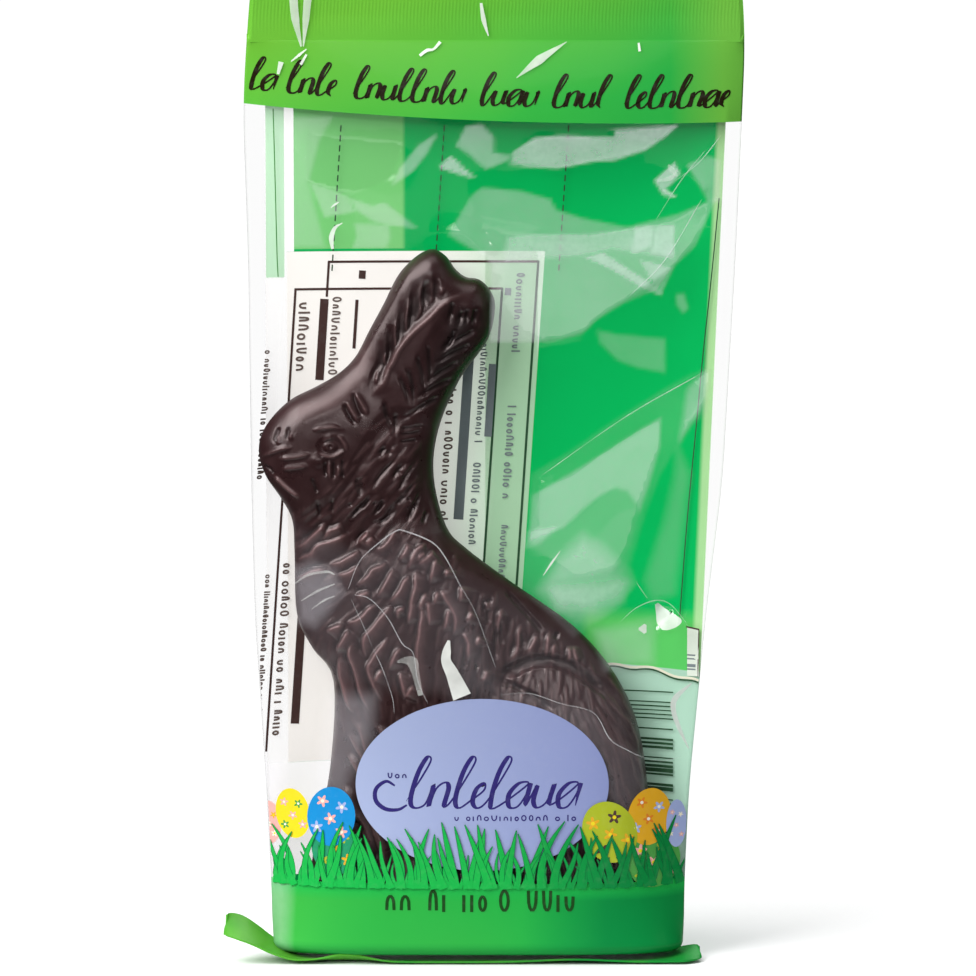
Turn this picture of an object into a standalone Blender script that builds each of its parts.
"""A solid moulded chocolate rabbit standing upright in its sealed clear bag.

The whole pack is one closed solid: the film lies over the rabbit on the front and on the back, runs out to flat
side edges, closes in a flat seal at the top, and ends at the foot in a seal that is folded under, with its two
ends standing out as ears. Metres, +Z up, the front faces -Y, and the origin is the middle of the flat foot.
"""
import math

import bmesh
import bpy
import numpy as np
from mathutils import Vector

MM = 0.001

# Height, left edge and right edge of the bag as seen from the front, from the foot to the top, in millimetres.
BAG_EDGES = np.array([
    (0.0, -39.2, 38.6),
    (3.0, -39.9, 39.2),
    (12.0, -39.9, 39.1),
    (33.0, -40.9, 40.0),
    (66.0, -43.0, 43.1),
    (92.0, -43.6, 46.2),
    (134.0, -44.0, 48.5),
    (163.0, -44.9, 49.7),
    (176.0, -44.2, 50.2),
    (190.0, -43.0, 49.3),
])
BAG_HEIGHT = 190.0
SEAL_BOTTOM = 176.0        # where the flat crimped seal starts
SEAL_HALF_THICKNESS = 0.45
FOOT_TOP = 2.6             # lower edge of the front panel, over the folded seal
FOOT_INSET = 1.7           # how far the folded seal stands back under the panels
FOOT_HALF_DEPTH = 8.4
FILM_CLEARANCE = 0.9       # from the chocolate to the outside of the film
FILM_DRAW = 0.030          # how strongly the slack film is drawn in between its supports
LEAST_HALF_DEPTH = 1.5     # slack front and back films stay this far off the middle plane

BACK_SEAM_X = 6.0          # the lengthwise seam on the back, folded flat to one side
BACK_SEAM_WIDTH = 10.0
BACK_SEAM_HEIGHT = 0.7

EAR_THICKNESS = 0.9
EAR_FRONT_Y = -7.0
EAR_BACK_Y = 4.0

# Outline of the rabbit from the front, facing left, clockwise from the tip of its front ear, in millimetres.
RABBIT_OUTLINE = [
    (-9.1, 136.0), (-5.0, 132.4), (-2.4, 130.7), (1.2, 129.9), (2.9, 126.0), (1.2, 119.8),
    (-4.0, 111.5), (-8.0, 102.0), (-8.9, 93.0), (-6.5, 83.4), (-2.5, 79.0), (5.8, 72.8),
    (17.5, 64.5), (24.8, 56.4), (29.6, 46.9), (31.8, 35.4), (32.8, 22.0), (33.4, 8.0),
    (32.4, 3.2), (0.0, 3.0), (-32.0, 3.2), (-33.2, 9.0), (-31.4, 24.0), (-28.7, 36.5),
    (-27.9, 53.6), (-32.0, 60.2), (-34.9, 66.7), (-35.3, 78.0), (-36.2, 86.8), (-41.0, 92.9),
    (-42.2, 100.4), (-39.9, 104.0), (-31.9, 109.6), (-27.6, 112.3), (-20.4, 122.8), (-15.6, 132.8),
]
# The rabbit's rounded masses: centre x and z, radii in x and z, and half the thickness there, in millimetres.
RABBIT_MASSES = [
    (14.0, 30.0, 23.0, 26.0, 7.2),
    (-15.0, 54.0, 19.0, 30.0, 6.6),
    (0.0, 6.0, 40.0, 14.0, 6.5),
    (-25.0, 96.0, 17.0, 14.0, 5.8),
    (-9.0, 117.0, 13.0, 22.0, 4.0),
]
RABBIT_LEAST_DEPTH = 3.0
RIM_RADIUS = 5.5

FRONT_COLUMNS = 44
BACK_COLUMNS = 25
BODY_ROWS = 66
SEAL_ROWS = 3
RELAX_ROUNDS = 700
EDGE_SMOOTHING = 12.0      # the bag's side edges bend over about this height


def bag_edges(height):
    """Left and right edge of the bag at one height or several, without corners in them."""
    z, left, right = BAG_EDGES.T
    around = np.asarray(height, float)[..., None] + np.linspace(-0.5, 0.5, 9) * EDGE_SMOOTHING
    return np.interp(around, z, left).mean(-1), np.interp(around, z, right).mean(-1)


def smooth_closed_line(points, per_span=5):
    """A closed Catmull-Rom curve through the given points."""
    p = np.array(points)
    before, here, after, beyond = np.roll(p, 1, 0), p, np.roll(p, -1, 0), np.roll(p, -2, 0)
    line = []
    for t in np.arange(per_span) / per_span:
        line.append(
            0.5 * (2 * here + (after - before) * t
                   + (2 * before - 5 * here + 4 * after - beyond) * t ** 2
                   + (3 * here - before - 3 * after + beyond) * t ** 3)
        )
    return np.stack(line, 1).reshape(-1, 2)


def depth_inside(x, z, line):
    """Distance from each point to a closed line, positive inside it and negative outside."""
    point = np.stack([x, z], -1)[..., None, :]
    start, end = line, np.roll(line, -1, 0)
    along = end - start
    share = np.clip(((point - start) * along).sum(-1) / (along ** 2).sum(-1), 0, 1)
    gap = np.linalg.norm(point - start - share[..., None] * along, axis=-1).min(-1)
    above = start[:, 1] > point[..., 1]
    crosses = above != (end[:, 1] > point[..., 1])
    rise = np.where(np.abs(along[:, 1]) < 1e-9, 1e-9, along[:, 1])
    at_x = start[:, 0] + (point[..., 1] - start[:, 1]) / rise * along[:, 0]
    inside = (crosses & (point[..., 0] < at_x)).sum(-1) % 2 == 1
    return np.where(inside, gap, -gap)


def rabbit_half_depth(x, z):
    """How far the rabbit stands out from the middle plane at each point, and 0 outside it."""
    inside = depth_inside(x, z, smooth_closed_line(RABBIT_OUTLINE))
    depth = np.full(x.shape, RABBIT_LEAST_DEPTH)
    for centre_x, centre_z, radius_x, radius_z, half in RABBIT_MASSES:
        reach = ((x - centre_x) / radius_x) ** 2 + ((z - centre_z) / radius_z) ** 2
        bulge = RABBIT_LEAST_DEPTH + (half - RABBIT_LEAST_DEPTH) * np.exp(-reach ** 2)
        depth = np.maximum(depth, bulge)
    rim = np.clip(inside / RIM_RADIUS, 0, 1)
    return depth * np.sqrt(rim * (2 - rim))


def foot_profile(x, left, right):
    """Half depth of the bag's foot across its width: deep in the middle, round at both ends."""
    middle, half = (left + right) / 2, (right - left) / 2
    share = np.clip(np.abs(x - middle) / half, 0, 1)
    return FOOT_HALF_DEPTH * (1 - share ** 5) ** 0.5


def drape_film(x, z, held_off):
    """Half depth of film stretched from edge to edge over what holds it off the middle plane."""
    rows, columns = x.shape
    film = np.maximum(held_off, LEAST_HALF_DEPTH)
    film[:, 0] = film[:, -1] = 0
    film[0] = foot_profile(x[0], x[0, 0], x[0, -1])
    film[-1] = SEAL_HALF_THICKNESS
    step_x = (x[rows // 2, -1] - x[rows // 2, 0]) / (columns - 1)
    step_z = (z[-1, 0] - z[0, 0]) / (rows - 1)
    share_x = step_z ** 2 / (step_x ** 2 + step_z ** 2)
    for _ in range(RELAX_ROUNDS):
        across = (film[1:-1, :-2] + film[1:-1, 2:]) / 2
        along = (film[:-2, 1:-1] + film[2:, 1:-1]) / 2
        drawn = across * share_x + along * (1 - share_x) - FILM_DRAW * step_x
        film[1:-1, 1:-1] = np.maximum(drawn, held_off[1:-1, 1:-1])
    return film


def panel(columns, spread):
    """x, z and half depth of one side of the bag, on a grid from its foot to the start of the seal."""
    heights = np.linspace(FOOT_TOP, SEAL_BOTTOM, BODY_ROWS)
    left, right = bag_edges(heights)
    share = spread(np.linspace(0, 1, columns))
    x = left[:, None] + (right - left)[:, None] * share[None, :]
    z = np.repeat(heights[:, None], columns, 1)
    rabbit = rabbit_half_depth(x, z)
    held_off = np.where(rabbit > 0, rabbit + FILM_CLEARANCE, 0)
    near_edge = np.minimum(share, 1 - share)[None, :] * (right - left)[:, None]
    to_seal = (SEAL_BOTTOM - z) / SEAL_BOTTOM
    least = np.minimum(LEAST_HALF_DEPTH, near_edge * 0.5) * np.clip(to_seal * 8, 0, 1)
    return x, z, drape_film(x, z, np.maximum(held_off, least))


def closer_at_edges(share):
    """Spreads 0 to 1 so that the steps are shorter near both ends."""
    return share - 0.06 * np.sin(2 * math.pi * share)


def with_seam(x, depth):
    """The back film's half depth with the lengthwise seam lying on it."""
    off = np.abs(x - BACK_SEAM_X)
    on_seam = np.clip((BACK_SEAM_WIDTH / 2 - off) / 1.5 + 0.5, 0, 1)
    return depth + BACK_SEAM_HEIGHT * on_seam


def body_rings():
    """Closed rings of points around the bag, from its foot to its top."""
    front_x, front_z, front = panel(FRONT_COLUMNS, closer_at_edges)
    back_x, _, back = panel(BACK_COLUMNS, closer_at_edges)
    back = with_seam(back_x, back)
    rings = []
    for row in range(BODY_ROWS):
        z = front_z[row, 0]
        ring = [(x, -y, z) for x, y in zip(front_x[row], front[row])]
        ring += [(x, y, z) for x, y in zip(back_x[row, -2:0:-1], back[row, -2:0:-1])]
        rings.append(ring)
    inner = np.array(rings[0])
    middle, half = (inner.max(0) + inner.min(0)) / 2, (inner.max(0) - inner.min(0)) / 2
    inner[:, :2] = (middle + (inner - middle) * (1 - FOOT_INSET / np.maximum(half, 1)))[:, :2]
    foot = inner.copy()
    foot[:, 2] = 0
    rings = [foot.tolist(), inner.tolist()] + rings
    for step in range(1, SEAL_ROWS + 1):
        z = SEAL_BOTTOM + (BAG_HEIGHT - SEAL_BOTTOM) * step / SEAL_ROWS
        left, right = bag_edges(z)
        share = np.linspace(0, 1, FRONT_COLUMNS)
        ring = [(left + (right - left) * s, -SEAL_HALF_THICKNESS, z) for s in closer_at_edges(share)]
        share = np.linspace(0, 1, BACK_COLUMNS)[-2:0:-1]
        ring += [(left + (right - left) * s, SEAL_HALF_THICKNESS, z) for s in closer_at_edges(share)]
        rings.append(ring)
    return rings


def mesh_object(name, mesh):
    """A mesh's object, linked into the scene and smooth but for its sharp edges."""
    thing = bpy.data.objects.new(name, mesh)
    bpy.context.collection.objects.link(thing)
    mesh.shade_smooth()
    mesh.set_sharp_from_angle(angle=math.radians(50))
    return thing


def make_body():
    """The bag's body: its rings bridged one to the next and closed at the foot and the top."""
    bm = bmesh.new()
    rings = [[bm.verts.new(Vector(p) * MM) for p in ring] for ring in body_rings()]
    count = len(rings[0])
    for lower, upper in zip(rings, rings[1:]):
        for i in range(count):
            j = (i + 1) % count
            bm.faces.new((lower[i], lower[j], upper[j], upper[i]))
    bm.faces.new(rings[0][::-1])
    bm.faces.new(rings[-1])
    bmesh.ops.recalc_face_normals(bm, faces=bm.faces)
    mesh = bpy.data.meshes.new("bag")
    bm.to_mesh(mesh)
    bm.free()
    return mesh_object("bag", mesh)


def make_ear(name, path, lift, rows=5):
    """One end of the folded foot seal: a thin flap that follows a path of (x, z) outwards and turns up at the back."""
    bm = bmesh.new()
    grid = []
    for step, (x, z) in enumerate(path):
        twist = lift * (step / (len(path) - 1)) ** 1.5
        line = []
        for row in range(rows):
            share = row / (rows - 1)
            y = EAR_FRONT_Y + (EAR_BACK_Y - EAR_FRONT_Y) * share
            line.append(bm.verts.new(Vector((x, y, z + twist * share)) * MM))
        grid.append(line)
    for one, other in zip(grid, grid[1:]):
        for i in range(rows - 1):
            bm.faces.new((one[i], other[i], other[i + 1], one[i + 1]))
    bmesh.ops.recalc_face_normals(bm, faces=bm.faces)
    bmesh.ops.solidify(bm, geom=bm.faces[:], thickness=EAR_THICKNESS * MM)
    bmesh.ops.recalc_face_normals(bm, faces=bm.faces)
    mesh = bpy.data.meshes.new(name)
    bm.to_mesh(mesh)
    bm.free()
    ear = mesh_object(name, mesh)
    ear.hide_render = True
    ear.display_type = "WIRE"
    return ear


def film_material():
    """Clear film over dark chocolate, as one plain colour."""
    material = bpy.data.materials.new("wrapped_chocolate")
    material.use_nodes = True
    shader = material.node_tree.nodes["Principled BSDF"]
    shader.inputs["Base Color"].default_value = (0.055, 0.035, 0.032, 1)
    shader.inputs["Roughness"].default_value = 0.25
    shader.inputs["Metallic"].default_value = 0
    return material


def main():
    for thing in list(bpy.data.objects):
        bpy.data.objects.remove(thing, do_unlink=True)
    bag = make_body()
    bag.data.materials.append(film_material())
    ears = [
        make_ear("left_ear", [(-36, 1.4), (-40, 2.4), (-43, 4.0), (-46, 5.4), (-49, 6.0)], 3.4),
        make_ear("right_ear", [(36, 1.3), (38.5, 1.2), (40.5, 1.2), (42.4, 1.6)], 0.6),
    ]
    for ear in ears:
        joined = bag.modifiers.new(ear.name, "BOOLEAN")
        joined.operation = "UNION"
        joined.object = ear


main()
